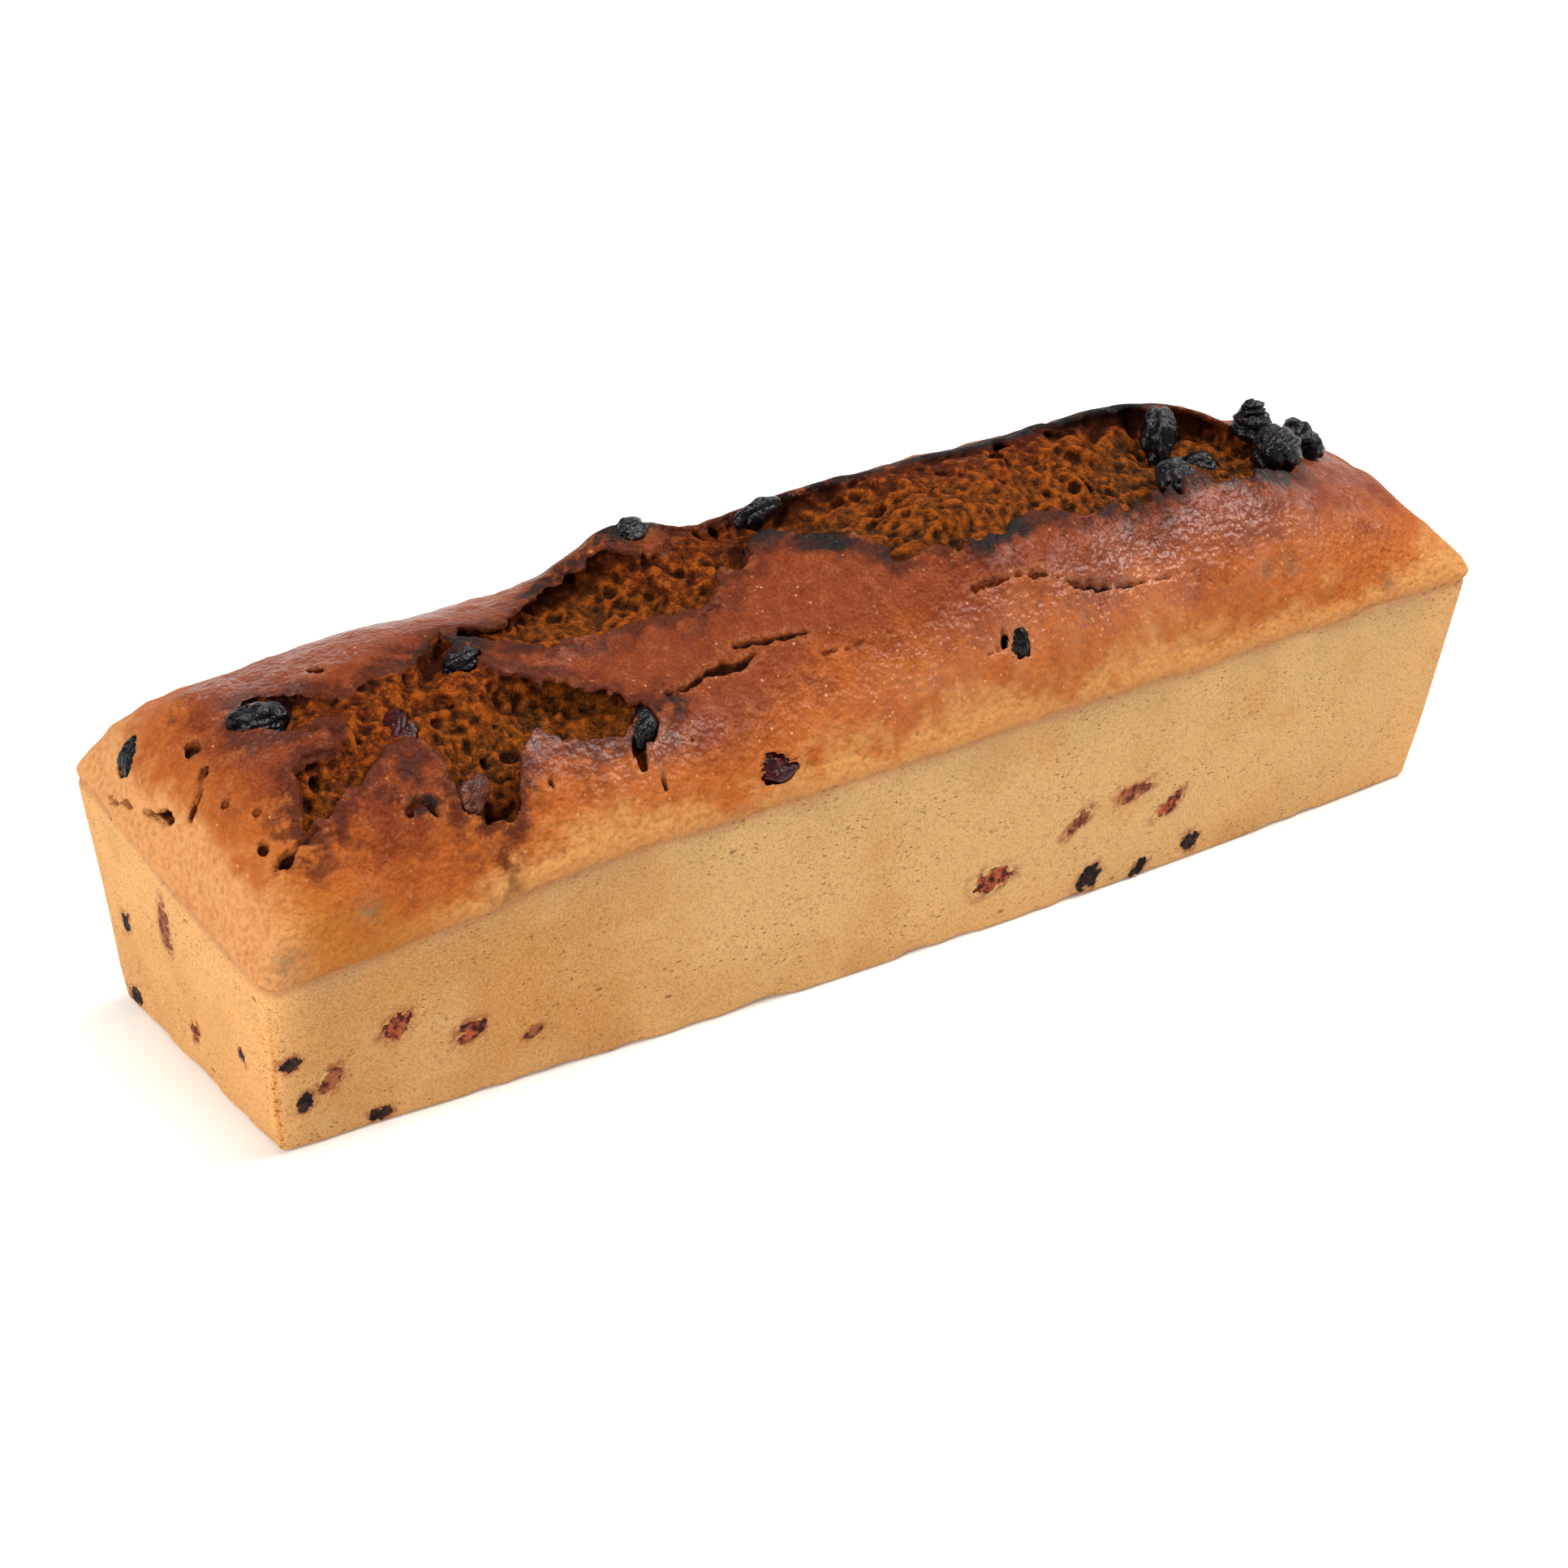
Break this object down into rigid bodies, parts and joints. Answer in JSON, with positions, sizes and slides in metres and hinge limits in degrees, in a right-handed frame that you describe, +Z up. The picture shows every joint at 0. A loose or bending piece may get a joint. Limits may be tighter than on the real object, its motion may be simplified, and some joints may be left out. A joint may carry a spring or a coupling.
{
  "type": "tin loaf",
  "caption": "Long narrow fruit loaf baked in a tin, with flat flared sides, a domed split crust and dried fruit showing at the surface.",
  "frame": {"origin": "middle of the flat base, on the surface that the loaf stands on", "axes": "+X along the loaf's length, -Y out of its front side, +Z up"},
  "size_m": [0.28, 0.074, 0.0823],
  "materials": {
    "crust": "baked crust, softly glossy on top, matt and pale on the tin sides, open crumb in the splits",
    "raisin": "wrinkled, partly glossy dried skin",
    "cranberry": "wrinkled glossy dried skin",
    "sultana": "wrinkled satin dried skin"
  },
  "bodies": {
    "root": {"back_cranberry": "cranberry", "back_raisin_end": "raisin", "back_raisin_left": "raisin", "back_raisin_right": "raisin", "back_side_cranberry_a": "cranberry", "back_side_cranberry_b": "cranberry", "back_side_raisin_a": "raisin", "back_side_raisin_b": "raisin", "back_side_raisin_c": "raisin", "back_side_sultana_a": "sultana", "cluster_raisin_back": "raisin", "cluster_raisin_front": "raisin", "cluster_raisin_right": "raisin", "cluster_scrap": "raisin", "crust_cranberry_front": "cranberry", "crust_raisin_end": "raisin", "crust_raisin_front": "raisin", "crust_raisin_left": "raisin", "crust_raisin_right": "raisin", "flap_raisin": "raisin", "front_cranberry_a": "cranberry", "front_cranberry_b": "cranberry", "front_cranberry_c": "cranberry", "front_cranberry_d": "cranberry", "front_raisin_a": "raisin", "front_raisin_b": "raisin", "front_raisin_c": "raisin", "front_raisin_d": "raisin", "front_raisin_e": "raisin", "front_raisin_f": "raisin", "front_sultana_a": "sultana", "front_sultana_b": "sultana", "front_sultana_c": "sultana", "front_sultana_d": "sultana", "left_cranberry": "cranberry", "left_raisin_a": "raisin", "left_raisin_b": "raisin", "left_raisin_c": "raisin", "left_sultana_a": "sultana", "loaf_body": "crust", "right_cranberry": "cranberry", "right_raisin_a": "raisin", "split_cranberry": "cranberry", "split_raisin_back": "raisin", "split_raisin_front": "raisin", "split_raisin_middle": "raisin", "split_raisin_right": "raisin", "strip_raisin": "raisin", "torn_raisin": "sultana"}
  },
  "joints": []
}
